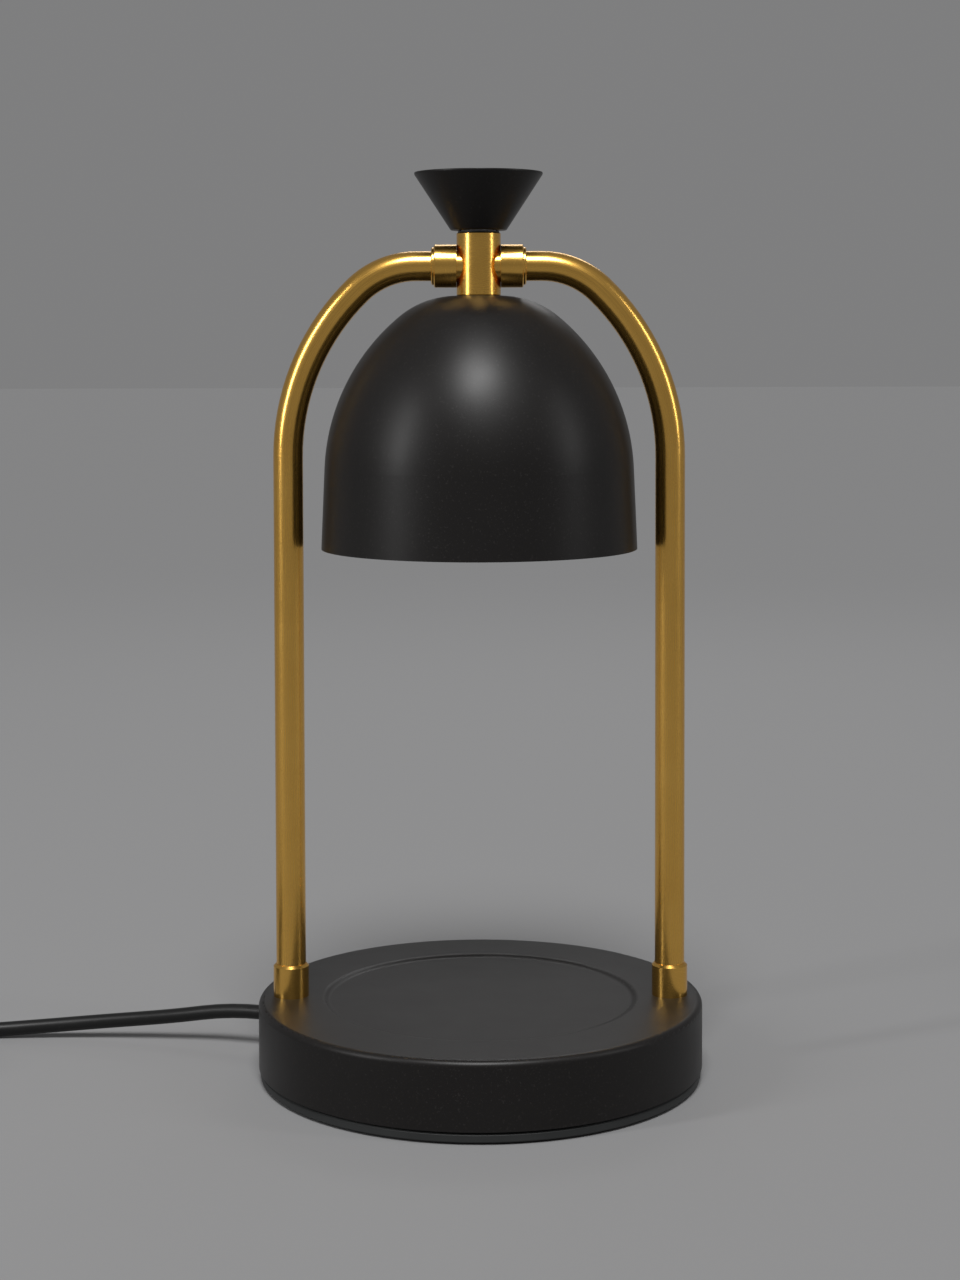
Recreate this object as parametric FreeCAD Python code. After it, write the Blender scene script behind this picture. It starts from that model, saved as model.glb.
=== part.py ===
import FreeCAD, Part
import math
import os

os.makedirs("parts", exist_ok=True)

# A two-post table lamp that warms what stands on its base from above.
# Millimetres. Z is up from the floor, X runs from post to post and the front faces -Y.

V = FreeCAD.Vector
CENTRE = V(0, 0, 0)
ALONG_X = V(1, 0, 0)
ALONG_Y = V(0, 1, 0)
UP = V(0, 0, 1)
DOWN = V(0, 0, -1)
FULL_TURN = 360.0
TINY = 1e-6

# Overall sizes
base_diameter = 150.0
base_height = 26.5
post_spacing = 128.4
arch_axis_height = 273.2
shade_mouth_diameter = 106.2
shade_height = 84.7
knob_diameter = 43.8
knob_height = 19.3

# Base cover, one pressed sheet
cover_sheet = 1.2
cover_edge_radius = 2.0
cover_floor_gap = 4.3
seat_diameter = 107.4
seat_slope_width = 3.0
seat_depth = 0.9

# Bottom plate, its pad and what stands on it
plate_edge_inset = 0.6
plate_floor_gap = 0.7
plate_top = 3.6
plate_edge_chamfer = 0.5
lip_clearance = 0.4
lip_thickness = 1.6
lip_height = 2.4
pad_diameter = 142.0
pad_thickness = 1.6
pad_hole_diameter = 8.4
weight_outer_diameter = 104.0
weight_board_clearance = 0.6
weight_thickness = 5.8
weight_slot_width = 19.0
weight_edge_chamfer = 0.6

# Screws: radius of the shank and the head, and the height of the head
m3_radius = 1.5
m3_head_radius = 2.8
m3_head_height = 1.7
m4_radius = 2.0
m4_head_radius = 3.4
m4_head_height = 1.8
screw_clearance = 0.15
drive_depth_share = 0.5
nut_bevel_margin = 0.1
cover_screw_circle = 120.0
cover_screw_angles = (45.0, 135.0, 225.0, 315.0)
cover_screw_length = 9.0
standoff_radius = 3.4
weight_screw_angles = (0.0, 90.0, 270.0)
weight_screw_length = 7.5

# Posts and arch, one bent tube a side
tube_diameter = 10.0
tube_bore = 8.0
lower_bend_radius = 77.6
upper_bend_radius = 28.0
lower_bend_turn = 46.0
ferrule_wall = 0.97
ferrule_height = 11.0
ferrule_chamfer = 0.8
slip_fit = 0.03
stud_bore = 5.8
stud_depth_in_tube = 14.0
stud_below_cover = 7.6
post_washer_diameter = 16.0
washer_thickness = 1.0
post_nut_flats = 13.0
post_nut_height = 5.0

# Hub and the two collars that hold the tubes
hub_diameter = 14.8
hub_above_axis = 11.1
hub_below_axis = 9.9
hub_bore = 10.1
hub_top_wall = 2.0
hub_edge_chamfer = 0.3
neck_diameter = 10.6
neck_end = 9.5
collar_diameter = 14.4
collar_start = 7.45
collar_end = 15.0
collar_lip_wall = 1.27
collar_lip_width = 0.9
collar_edge_chamfer = 0.35
grub_radius = 1.5
grub_socket_flats = 1.5
grub_socket_depth = 1.2
grub_position = 12.0
grub_below_surface = 0.5

# Shade, its hollow threaded rod and the lampholder bracket
shade_wall = 1.2
shade_flat_radius = 7.5
shade_crown_radius = 30.0
shade_crown_turn = 39.5
shade_skirt_flare = 2.5
nipple_diameter = 10.0
nipple_bore = 7.0
nipple_in_hub = 4.6
nipple_length = 17.0
shade_nut_flats = 14.0
shade_nut_height = 4.0
bracket_sheet = 1.2
bracket_width = 14.0
bracket_span = 26.0
bracket_height = 11.2
bracket_foot = 6.6
bracket_bend_radius = 1.6

# Lampholder and bulb, twist-lock with two headed pins
holder_diameter = 27.0
holder_height = 16.0
holder_edge_chamfer = 1.0
holder_screw_spacing = 17.0
holder_screw_length = 12.0
pin_spacing = 10.0
pin_radius = 1.5
pin_head_radius = 2.5
pin_length = 7.2
pin_head_height = 2.7
slot_side_clearance = 0.4
slot_seat = 3.9
slot_depth = 8.4
unlock_turn = 20.0
body_gap = 0.3
bulb_base_diameter = 23.6
bulb_base_height = 13.5
bulb_base_chamfer = 1.4
bulb_diameter = 50.0
bulb_length = 46.2
reflector_neck_radius = 10.4
reflector_neck_pocket = 2.0
reflector_wall = 1.4
reflector_bulge = 3.6
reflector_facet_rows = 4
bulb_rim_height = 5.5
bulb_rim_step = 0.8
bulb_rim_bevel = 0.5
glass_recess = 0.8
glass_thickness = 1.8
capsule_radius = 4.6
capsule_length = 21.0

# Dimmer, its spindle and the knob
dimmer_radius = 4.9
dimmer_height = 6.2
dimmer_collar_radius = 3.5
dimmer_collar_above_hub = 3.4
dimmer_washer_radius = 6.9
dimmer_washer_thickness = 0.5
dimmer_nut_flats = 10.0
dimmer_nut_height = 2.0
spindle_radius = 3.0
spindle_clearance = 0.05
spindle_depth_in_dimmer = 4.2
spindle_above_hub = 13.6
spindle_flat = 1.5
spindle_flat_length = 9.0
knob_gap = 0.8
knob_bottom_diameter = 18.6
knob_edge_round = 0.5
knob_recess_radius = 6.8
knob_recess_depth = 3.6
knob_bore_clearance = 0.02
tag_radius_from_axis = 2.9
tag_spacing = 1.9
tag_thickness = 0.6
tag_width = 0.9
tag_length = 4.0

# Circuit board and what is on it
board_length = 42.0
board_width = 34.0
board_thickness = 1.6
board_boss_height = 3.0
board_boss_radius = 3.0
boss_hole_below_plate_top = 0.8
board_screw_inset = 3.2
board_screw_length = 4.0
capacitor_size = (13.0, 6.0, 11.0)
capacitor_place = (2.0, 8.0)
choke_radius = 5.0
choke_core_radius = 2.4
choke_height = 8.0
choke_place = (4.0, -8.6)
triac_size = (10.0, 4.4, 9.0)
triac_tab_size = (10.0, 1.2, 15.0)
triac_hole_radius = 1.6
triac_hole_below_top = 2.6
triac_place = (-8.0, -10.5)

# Cables inside the tubes
lamp_cable_radius = 1.7
dimmer_cable_radius = 2.0
cable_sides = 8
cable_height_in_base = 13.5
cable_bend = 4.0
cable_landing = 15.0

# Mains cord: exit, clamp, free stretch, coil and plug
cord_diameter = 5.0
exit_angle = 160.0
exit_height = 12.4
relief_flange_radius = 4.5
relief_flange_thickness = 1.5
relief_neck_radius = 3.4
relief_neck_clearance = 0.1
relief_inner_grip = 0.2
relief_outer_grip = 0.05
relief_sleeve_radius = 3.6
relief_tail_start_radius = 4.0
relief_tail_end_radius = 3.1
relief_outside = 6.5
relief_inside = 13.8
relief_groove_count = 1
relief_groove_width = 1.0
relief_groove_depth = 0.6
clamp_place = 57.0
clamp_width = 22.0
clamp_length = 7.0
clamp_sheet = 1.6
clamp_screw_spacing = 14.0
clamp_screw_length = 8.5
clamp_split = 0.4
tail_end = 52.5
lead_radius = 0.9
lead_spacing = 2.6
terminal_start = 31.0
terminal_length = 11.0
terminal_width = 15.0
terminal_height = 11.0
terminal_screw_radius = 1.6
terminal_screw_spacing = 6.2
terminal_screw_depth = 2.5
lead_reach_to_board = 12.0

# The stretch of cord that lies free, by hand from where it leaves its strain relief.
# The first run carries on straight out of the exit and the last one runs into the coil.
cord_first_run = 12.0
cord_points = (
    V(-109.4, 36.6, 8.6),
    V(-133.2, 39.3, 6.2),
    V(-157.2, 40.3, 4.0),
    V(-179.2, 39.9, 2.5),
)
cord_last_run = 17.0
bend_share = 0.45

# The coil is wound in two layers, in and out again, and its end runs straight into the plug.
coil_centre_x = -222.5
coil_centre_y = -3.3
coil_middle_radius = 30.1
coil_pitch = 5.5
coil_start_angle = 94.0
coil_quarters_in = 13
coil_lift_quarters = 2
coil_total_turn = 86.0 + 7 * FULL_TURN
coil_lift_slope = 1.5
coil_sides = 6
coil_end_run = 25.0

# Plug with two flat blades
plug_width = 25.0
plug_body_length = 31.0
plug_tail_length = 22.0
plug_shoulder_width = 15.0
plug_shoulder_height = 11.0
plug_corner = 3.0
plug_waist_share = 0.84
plug_tail_start_radius = 4.2
plug_tail_end_radius = 3.1
plug_waist_start_share = 0.35
plug_waist_end_share = 0.6
plug_front_share = 0.8
plug_groove_count = 4
plug_groove_width = 1.0
plug_groove_over_cord = 0.3
blade_spacing = 12.7
blade_width = 6.3
blade_thickness = 1.5
blade_length = 16.5
blade_hole_radius = 1.6
blade_hole_from_tip = 4.5

# Heights and radii that follow from the sizes above
base_radius = base_diameter / 2
cover_underside = base_height - cover_sheet
seat_top = base_height - seat_depth
seat_radius = seat_diameter / 2
post_x = post_spacing / 2
tube_radius = tube_diameter / 2
hub_top = arch_axis_height + hub_above_axis
hub_bottom = arch_axis_height - hub_below_axis
hub_radius = hub_diameter / 2
shade_top = hub_bottom
shade_rim = shade_top - shade_height
shade_inside_top = shade_top - shade_wall
nipple_bottom = hub_bottom + nipple_in_hub - nipple_length
washer_bottom = shade_inside_top - washer_thickness
upper_nut_bottom = washer_bottom - shade_nut_height
bracket_top = upper_nut_bottom
lower_nut_bottom = bracket_top - bracket_sheet - shade_nut_height
holder_top = bracket_top - bracket_height
holder_bottom = holder_top - holder_height
bulb_top = holder_bottom - body_gap
bulb_front = bulb_top - bulb_length
knob_bottom = hub_top + knob_gap
knob_top = knob_bottom + knob_height
dimmer_bottom = hub_top - hub_top_wall - dimmer_height
spindle_bottom = hub_top - hub_top_wall - spindle_depth_in_dimmer
spindle_top = hub_top + spindle_above_hub
recess_top = knob_bottom + knob_recess_depth
tag_bottom = dimmer_bottom - tag_length
board_bottom = plate_top + board_boss_height
board_top = board_bottom + board_thickness
weight_outer_radius = weight_outer_diameter / 2
weight_inner_radius = math.hypot(board_length, board_width) / 2 + weight_board_clearance
cord_radius = cord_diameter / 2
coil_outer_radius = coil_middle_radius + coil_pitch * coil_total_turn / FULL_TURN / 4
relief_end = base_radius + relief_outside
relief_start = base_radius - relief_inside
plug_axis_height = cord_radius + coil_pitch


def at(radius, height):
    """A point of an outline that is turned about the vertical axis."""
    return V(radius, 0, height)


def polar(radius, degrees, height=0.0):
    angle = math.radians(degrees)
    return V(radius * math.cos(angle), radius * math.sin(angle), height)


def arc_from(start, heading, end):
    """The arc that leaves start along heading and ends at end."""
    chord = end - start
    reach = chord.Length ** 2 / (2 * chord.dot(heading))
    corner = start + heading * reach
    middle = (start + end) * 0.5
    half = chord.Length / 2
    via = middle + (corner - middle) * (half / (half + reach))
    return Part.Arc(start, via, end)


def outline(start, *moves):
    """A closed face. A move is a point to go straight to, or a pair of heading and end of an arc."""
    edges = []
    here = start
    for move in moves:
        if isinstance(move, tuple):
            edges.append(arc_from(here, move[0], move[1]).toShape())
            here = move[1]
        else:
            edges.append(Part.LineSegment(here, move).toShape())
            here = move
    if here.distanceToPoint(start) > TINY:
        edges.append(Part.LineSegment(here, start).toShape())
    return Part.Face(Part.Wire(edges))


def turned(face, centre=CENTRE, axis=UP):
    return face.revolve(centre, axis, FULL_TURN)


def rod(radius, bottom, top, x=0.0, y=0.0):
    return Part.makeCylinder(radius, top - bottom, V(x, y, bottom), UP)


def ring(outer, inner, bottom, top, x=0.0, y=0.0):
    return rod(outer, bottom, top, x, y).cut(rod(inner, bottom, top, x, y))


def block(size, x, y, bottom):
    """A box that is centred on x and y."""
    return Part.makeBox(size[0], size[1], size[2], V(x - size[0] / 2, y - size[1] / 2, bottom))


def hexagon(flats, bottom, top, x=0.0, y=0.0):
    corner = flats / math.sqrt(3)
    points = [V(x, y, bottom) + polar(corner, 60.0 * k) for k in range(6)]
    return Part.Face(Part.makePolygon(points + points[:1])).extrude(UP * (top - bottom))


def nut(flats, hole_radius, bottom, top, x=0.0, y=0.0):
    """A hexagon nut whose corners are chamfered by a cone."""
    corner = flats / math.sqrt(3)
    height = top - bottom
    trim = Part.makeCone(corner + height, flats / 2 + nut_bevel_margin, height, V(x, y, bottom), UP)
    body = hexagon(flats, bottom, top, x, y).common(trim)
    return body.cut(rod(hole_radius, bottom, top, x, y))


def about(shape, degrees, centre=CENTRE, axis=UP):
    copy = shape.copy()
    copy.rotate(centre, axis, degrees)
    return copy


def other_side(shape):
    """The same piece on the other post."""
    return about(shape, FULL_TURN / 2)


def group(solids):
    return Part.Compound([solid for shape in solids for solid in shape.Solids])


def screw(length, shank, head_radius, head_height, head_below):
    """A pan-head screw along Z with the underside of its head at the origin."""
    direction = 1 if head_below else -1
    axis = UP * direction
    body = Part.makeCylinder(shank, length, CENTRE, axis)
    rounding = head_height / 3
    rim = head_height - rounding
    head = outline(
        at(0, 0),
        at(head_radius, 0),
        at(head_radius, -direction * rim),
        at(head_radius - rounding, -direction * head_height),
        at(0, -direction * head_height),
    )
    whole = body.fuse(turned(head)).removeSplitter()
    slot = block(
        (2 * head_radius, head_radius / 3, head_height * drive_depth_share),
        0,
        0,
        -head_height if head_below else head_height * (1 - drive_depth_share),
    )
    return whole.cut(slot)


def moved(shape, place):
    copy = shape.copy()
    copy.translate(place)
    return copy


def pipe(path, radius, sides=0):
    """A tube along a path, round or with a number of flat sides."""
    start = path.Edges[0].valueAt(path.Edges[0].FirstParameter)
    heading = path.Edges[0].tangentAt(path.Edges[0].FirstParameter)
    if not sides:
        section = Part.Wire([Part.Circle(start, heading, radius).toShape()])
        return path.makePipeShell([section], True, False)
    aside = UP if abs(heading.z) < bend_share else ALONG_X
    across = heading.cross(aside).normalize()
    raised = across.cross(heading)
    corners = []
    for k in range(sides):
        angle = 2 * math.pi * (k + 0.5) / sides
        corners.append(start + (across * math.cos(angle) + raised * math.sin(angle)) * radius)
    section = Part.makePolygon(corners + corners[:1])
    return path.makePipeShell([section], True, False)


def tube_path(inner_end):
    """The centre line of the right tube, from the base to where it ends beside the hub."""
    turn = math.radians(lower_bend_turn)
    bend_start = (
        arch_axis_height
        - lower_bend_radius * math.sin(turn)
        - upper_bend_radius * (1 - math.sin(turn))
    )
    change = V(
        post_x - lower_bend_radius * (1 - math.cos(turn)),
        0,
        bend_start + lower_bend_radius * math.sin(turn),
    )
    level = V(change.x - upper_bend_radius * math.cos(turn), 0, arch_axis_height)
    heading = V(-math.sin(turn), 0, math.cos(turn))
    return [
        Part.LineSegment(V(post_x, 0, base_height), V(post_x, 0, bend_start)),
        arc_from(V(post_x, 0, bend_start), UP, change),
        arc_from(change, heading, level),
        Part.LineSegment(level, V(inner_end, 0, arch_axis_height)),
    ]


def wire_of(curves):
    return Part.Wire([curve.toShape() for curve in curves])


def arch_tube():
    path = wire_of(tube_path(neck_end))
    return pipe(path, tube_radius).cut(pipe(path, tube_bore / 2))


def ferrule():
    """A turned collar that stands on the cover round the foot of a post."""
    inner = tube_radius + slip_fit
    outer = inner + ferrule_wall
    top = base_height + ferrule_height
    face = outline(
        at(inner, base_height),
        at(outer, base_height),
        at(outer, top - ferrule_chamfer),
        at(outer - ferrule_chamfer, top),
        at(inner, top),
    )
    return moved(turned(face), V(post_x, 0, 0))


def post_stud():
    """The hollow threaded stud that draws a post down on the cover."""
    outer = tube_bore / 2 - slip_fit
    return ring(
        outer,
        stud_bore / 2,
        cover_underside - stud_below_cover,
        base_height + stud_depth_in_tube,
        post_x,
    )


def post_washer():
    hole = tube_bore / 2 + slip_fit
    return ring(
        post_washer_diameter / 2,
        hole,
        cover_underside - washer_thickness,
        cover_underside,
        post_x,
    )


def post_nut():
    top = cover_underside - washer_thickness
    return nut(post_nut_flats, tube_bore / 2 + slip_fit, top - post_nut_height, top, post_x)


def base_cover():
    """The pressed cover, with a shallow round seat in its top and holes for posts and cord.

    Outside its bends are round. The hidden underside has straight slopes.
    """
    inside = base_radius - cover_sheet
    edge = cover_edge_radius
    slope_middle = seat_radius - seat_slope_width / 2
    half_depth = seat_depth / 2
    face = outline(
        at(base_radius, cover_floor_gap),
        at(base_radius, base_height - edge),
        (UP, at(base_radius - edge, base_height)),
        at(seat_radius, base_height),
        (ALONG_X * -1, at(slope_middle, base_height - half_depth)),
        (slope_heading_at_middle(), at(seat_radius - seat_slope_width, seat_top)),
        at(0, seat_top),
        at(0, seat_top - cover_sheet),
        at(seat_radius - seat_slope_width, seat_top - cover_sheet),
        at(seat_radius, cover_underside),
        at(base_radius - edge, cover_underside),
        at(inside, base_height - edge),
        at(inside, cover_floor_gap),
    )
    cover = turned(face)
    post_hole = rod(tube_bore / 2 + slip_fit, 0, base_height + 1, post_x)
    cord_hole = Part.makeCylinder(
        relief_neck_radius + relief_neck_clearance,
        base_radius,
        V(base_radius / 2, 0, exit_height),
        ALONG_X,
    )
    return cover.cut(group([post_hole, other_side(post_hole), about(cord_hole, exit_angle)]))


def slope_heading_at_middle():
    """Where the two arcs of the seat's edge meet, they run down and inwards at this heading."""
    turn = 2 * math.atan2(seat_depth, seat_slope_width)
    return V(-math.cos(turn), 0, -math.sin(turn))


def standoffs():
    """Posts welded under the cover, tapped for the bottom screws."""
    solids = []
    for angle in cover_screw_angles:
        place = polar(cover_screw_circle / 2, angle)
        solids.append(ring(standoff_radius, m3_radius, plate_top, cover_underside, place.x, place.y))
    return group(solids)


def board_screw_places():
    dx = board_length / 2 - board_screw_inset
    dy = board_width / 2 - board_screw_inset
    return [V(sx * dx, sy * dy, 0) for sx in (-1, 1) for sy in (-1, 1)]


def weight_screw_places():
    circle = (weight_outer_radius + weight_inner_radius) / 2
    return [polar(circle, angle) for angle in weight_screw_angles]


def bottom_plate():
    """The moulded plate, with a lip inside the cover, bosses and the lower half of the cord clamp."""
    edge = base_radius - plate_edge_inset
    lip_outer = base_radius - cover_sheet - lip_clearance
    recess_radius = pad_diameter / 2 + body_gap
    recess_top_height = pad_thickness
    face = outline(
        at(0, recess_top_height),
        at(recess_radius, recess_top_height),
        at(recess_radius, plate_floor_gap),
        at(edge - plate_edge_chamfer, plate_floor_gap),
        at(edge, plate_floor_gap + plate_edge_chamfer),
        at(edge, plate_top - plate_edge_chamfer),
        at(edge - plate_edge_chamfer, plate_top),
        at(lip_outer, plate_top),
        at(lip_outer, plate_top + lip_height),
        at(lip_outer - lip_thickness, plate_top + lip_height),
        at(lip_outer - lip_thickness, plate_top),
        at(0, plate_top),
    )
    plate = turned(face)
    additions = [rod(board_boss_radius, plate_top, board_bottom, p.x, p.y) for p in board_screw_places()]
    additions.append(about(clamp_pedestal(), exit_angle))
    plate = plate.fuse(additions).removeSplitter()
    holes = []
    for place in [polar(cover_screw_circle / 2, angle) for angle in cover_screw_angles]:
        holes.append(rod(m3_radius + screw_clearance, 0, plate_top, place.x, place.y))
        holes.append(rod(m3_head_radius + screw_clearance, 0, screw_seat(), place.x, place.y))
    for place in weight_screw_places():
        holes.append(rod(m4_radius + screw_clearance, 0, plate_top, place.x, place.y))
        holes.append(rod(m4_head_radius + screw_clearance, 0, screw_seat(), place.x, place.y))
    for place in board_screw_places():
        holes.append(rod(m3_radius, plate_top - boss_hole_below_plate_top, board_bottom, place.x, place.y))
    return plate.cut(group(holes))


def screw_seat():
    """The height in the bottom plate at which the screw heads bear."""
    return (pad_thickness + plate_top) / 2


def clamp_pedestal():
    """The lower half of the cord clamp, along +X before it is turned to the exit."""
    height = exit_height - clamp_split - plate_top
    body = block((clamp_length, clamp_width, height), clamp_place, 0, plate_top)
    groove = Part.makeCylinder(
        cord_radius + slip_fit,
        clamp_length,
        V(clamp_place - clamp_length / 2, 0, exit_height),
        ALONG_X,
    )
    holes = clamp_screw_holes(plate_top, exit_height, m3_radius)
    return body.cut(groove).cut(holes)


def clamp_screw_holes(bottom, top, radius):
    half = clamp_screw_spacing / 2
    return group([rod(radius, bottom, top, clamp_place, side * half) for side in (-1, 1)])


def cord_clamp():
    """The saddle over the cord, held down by two screws."""
    bottom = exit_height + clamp_split
    crown = exit_height + cord_radius + clamp_sheet
    half = clamp_width / 2
    rise = clamp_split + clamp_sheet
    shoulder = math.sqrt((cord_radius + clamp_sheet) ** 2 - rise ** 2)
    face = outline(
        V(0, -half, bottom),
        V(0, half, bottom),
        V(0, half, bottom + clamp_sheet),
        V(0, shoulder, bottom + clamp_sheet),
        (V(0, -rise, shoulder).normalize(), V(0, 0, crown)),
        (ALONG_Y * -1, V(0, -shoulder, bottom + clamp_sheet)),
        V(0, -half, bottom + clamp_sheet),
    )
    body = moved(face, V(clamp_place - clamp_length / 2, 0, 0)).extrude(ALONG_X * clamp_length)
    groove = Part.makeCylinder(
        cord_radius + slip_fit,
        clamp_length,
        V(clamp_place - clamp_length / 2, 0, exit_height),
        ALONG_X,
    )
    holes = clamp_screw_holes(bottom, bottom + clamp_sheet, m3_radius + screw_clearance)
    return about(body.cut(groove).cut(holes), exit_angle)


def clamp_screws():
    head_seat = exit_height + clamp_split + clamp_sheet
    one = screw(clamp_screw_length, m3_radius - slip_fit, m3_head_radius, m3_head_height, False)
    half = clamp_screw_spacing / 2
    pair = [moved(one, V(clamp_place, side * half, head_seat)) for side in (-1, 1)]
    return about(group(pair), exit_angle)


def foot_pad():
    """The soft pad that the lamp stands on, with a hole under each screw."""
    pad = rod(pad_diameter / 2, 0, pad_thickness)
    places = weight_screw_places()
    places += [polar(cover_screw_circle / 2, angle) for angle in cover_screw_angles]
    return pad.cut(group([rod(pad_hole_diameter / 2, 0, pad_thickness, p.x, p.y) for p in places]))


def screws_from_below(places, length, shank, head_radius, head_height):
    one = screw(length, shank - slip_fit, head_radius, head_height, True)
    return group([moved(one, V(p.x, p.y, screw_seat())) for p in places])


def base_weight():
    """A cast ring with a slot for the mains terminal, chamfered at its upper edges."""
    outer = weight_outer_radius
    inner = weight_inner_radius
    top = plate_top + weight_thickness
    chamfer = weight_edge_chamfer
    face = outline(
        at(inner, plate_top),
        at(outer, plate_top),
        at(outer, top - chamfer),
        at(outer - chamfer, top),
        at(inner + chamfer, top),
        at(inner, top - chamfer),
    )
    slot = block((outer, weight_slot_width, top), (outer + inner) / 2, 0, 0)
    holes = [rod(m4_radius, plate_top, top, p.x, p.y) for p in weight_screw_places()]
    return turned(face).cut(group([about(slot, exit_angle)] + holes))


def circuit_board():
    board = block((board_length, board_width, board_thickness), 0, 0, board_bottom)
    places = board_screw_places()
    hole = m3_radius + screw_clearance
    return board.cut(group([rod(hole, board_bottom, board_top, p.x, p.y) for p in places]))


def board_screws():
    one = screw(board_screw_length, m3_radius - slip_fit, m3_head_radius, m3_head_height, False)
    return group([moved(one, V(p.x, p.y, board_top)) for p in board_screw_places()])


def capacitor():
    body = block(capacitor_size, capacitor_place[0], capacitor_place[1], board_top)
    upright = [e for e in body.Edges if abs(e.tangentAt(0).z) > 0.9]
    return body.makeFillet(capacitor_size[1] / 6, upright)


def choke():
    """A drum core with its winding, as one turned piece."""
    x, y = choke_place
    flange = choke_height / 6
    top = board_top + choke_height
    core = rod(choke_radius, board_top, board_top + flange, x, y)
    core = core.fuse(rod(choke_radius, top - flange, top, x, y))
    winding_radius = (choke_radius + choke_core_radius) / 2
    return core.fuse(rod(winding_radius, board_top + flange, top - flange, x, y)).removeSplitter()


def triac():
    """A switching element with a metal tab behind its body."""
    x, y = triac_place
    body = block(triac_size, x, y, board_top)
    tab_y = y - triac_size[1] / 2 - triac_tab_size[1] / 2
    tab = block(triac_tab_size, x, tab_y, board_top)
    hole_start = V(x, tab_y - triac_tab_size[1], board_top + triac_tab_size[2] - triac_hole_below_top)
    hole = Part.makeCylinder(triac_hole_radius, 2 * triac_tab_size[1], hole_start, ALONG_Y)
    return body.fuse(tab).cut(hole).removeSplitter()


def terminal_block():
    """The mains terminal that stands in the slot of the weight."""
    middle = terminal_start + terminal_length / 2
    body = block((terminal_length, terminal_width, terminal_height), middle, 0, plate_top)
    top = plate_top + terminal_height
    cuts = []
    for side in (-1, 1):
        y = side * terminal_screw_spacing / 2
        cuts.append(rod(terminal_screw_radius, top - terminal_screw_depth, top, middle, y))
    body = body.cut(group(cuts))
    return about(body, exit_angle)


def cord_tail():
    """The cord inside the base, from its strain relief through the clamp."""
    path = Part.makeCylinder(
        cord_radius,
        relief_start - tail_end,
        V(tail_end, 0, exit_height),
        ALONG_X,
    )
    return about(path, exit_angle)


def mains_leads():
    """Two cores from the cord's end to the terminal and two on to the board."""
    solids = []
    landing = terminal_start - lead_reach_to_board
    for side in (-1, 1):
        y = side * lead_spacing / 2
        length = tail_end - terminal_start - terminal_length
        start = V(terminal_start + terminal_length, y, exit_height)
        solids.append(Part.makeCylinder(lead_radius, length, start, ALONG_X))
        bend = exit_height - board_top
        corner = V(landing + bend, y, exit_height)
        foot = V(landing, y, board_top)
        run = Part.LineSegment(V(terminal_start, y, exit_height), corner)
        fall = arc_from(corner, V(-1, 0, 0), foot)
        solids.append(pipe(wire_of([run, fall]), lead_radius))
    return about(group(solids), exit_angle)


def strain_relief():
    """The tapered sleeve on the cord, gripped by the wall of the cover between two flanges."""
    wall_inner = base_radius - cover_sheet - relief_inner_grip
    wall_outer = base_radius + relief_outer_grip
    neck = relief_neck_radius
    flange = relief_flange_radius
    tail_start = wall_outer + relief_flange_thickness
    height = exit_height
    points = [
        at(relief_start, height),
        at(relief_start, height + relief_sleeve_radius),
        at(wall_inner - relief_flange_thickness, height + relief_sleeve_radius),
        at(wall_inner - relief_flange_thickness, height + flange),
        at(wall_inner, height + flange),
        at(wall_inner, height + neck),
        at(wall_outer, height + neck),
        at(wall_outer, height + flange),
        at(tail_start, height + flange),
        at(tail_start, height + relief_tail_start_radius),
    ]
    step = (relief_end - tail_start) / (relief_groove_count + 1)
    for k in range(relief_groove_count):
        groove_at = tail_start + step * (k + 1) - relief_groove_width
        before = relief_radius_at(groove_at, tail_start)
        after = relief_radius_at(groove_at + relief_groove_width, tail_start)
        points.append(at(groove_at, height + before))
        points.append(at(groove_at, height + before - relief_groove_depth))
        points.append(at(groove_at + relief_groove_width, height + after - relief_groove_depth))
        points.append(at(groove_at + relief_groove_width, height + after))
    points.append(at(relief_end, height + relief_tail_end_radius))
    points.append(at(relief_end, height))
    body = turned(outline(points[0], *points[1:]), V(0, 0, height), ALONG_X)
    return about(body, exit_angle)


def relief_radius_at(distance, tail_start):
    share = (distance - tail_start) / (relief_end - tail_start)
    return relief_tail_start_radius + share * (relief_tail_end_radius - relief_tail_start_radius)


def centre_hub():
    """The upright cylinder with two necks, bored for the dimmer and for the cables."""
    neck = Part.makeCylinder(
        neck_diameter / 2, 2 * neck_end, V(-neck_end, 0, arch_axis_height), ALONG_X
    )
    chamfer = hub_edge_chamfer
    face = outline(
        at(0, hub_bottom),
        at(hub_radius - chamfer, hub_bottom),
        at(hub_radius, hub_bottom + chamfer),
        at(hub_radius, hub_top - chamfer),
        at(hub_radius - chamfer, hub_top),
        at(0, hub_top),
    )
    cross_bore = Part.makeCylinder(
        tube_bore / 2, 2 * neck_end, V(-neck_end, 0, arch_axis_height), ALONG_X
    )
    bore = rod(hub_bore / 2, hub_bottom, hub_top - hub_top_wall)
    top_hole = rod(dimmer_collar_radius + slip_fit, hub_bottom, hub_top)
    return turned(face).fuse(neck).cut(group([cross_bore, bore, top_hole]))


def hub_collar():
    """The collar that joins the right tube to its neck, with a thin lip at its outer end."""
    outer = collar_diameter / 2
    neck_hole = neck_diameter / 2 + slip_fit
    tube_hole = tube_radius + slip_fit
    lip = tube_hole + collar_lip_wall
    chamfer = collar_edge_chamfer
    lip_end = collar_end + collar_lip_width
    zero = arch_axis_height
    face = outline(
        at(collar_start, zero + neck_hole),
        at(collar_start, zero + outer),
        at(collar_end - chamfer, zero + outer),
        at(collar_end, zero + outer - chamfer),
        at(collar_end, zero + lip),
        at(lip_end - chamfer, zero + lip),
        at(lip_end, zero + lip - chamfer),
        at(lip_end, zero + tube_hole),
        at(neck_end, zero + tube_hole),
        at(neck_end, zero + neck_hole),
    )
    body = turned(face, V(0, 0, zero), ALONG_X)
    return body.cut(grub_hole())


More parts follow.
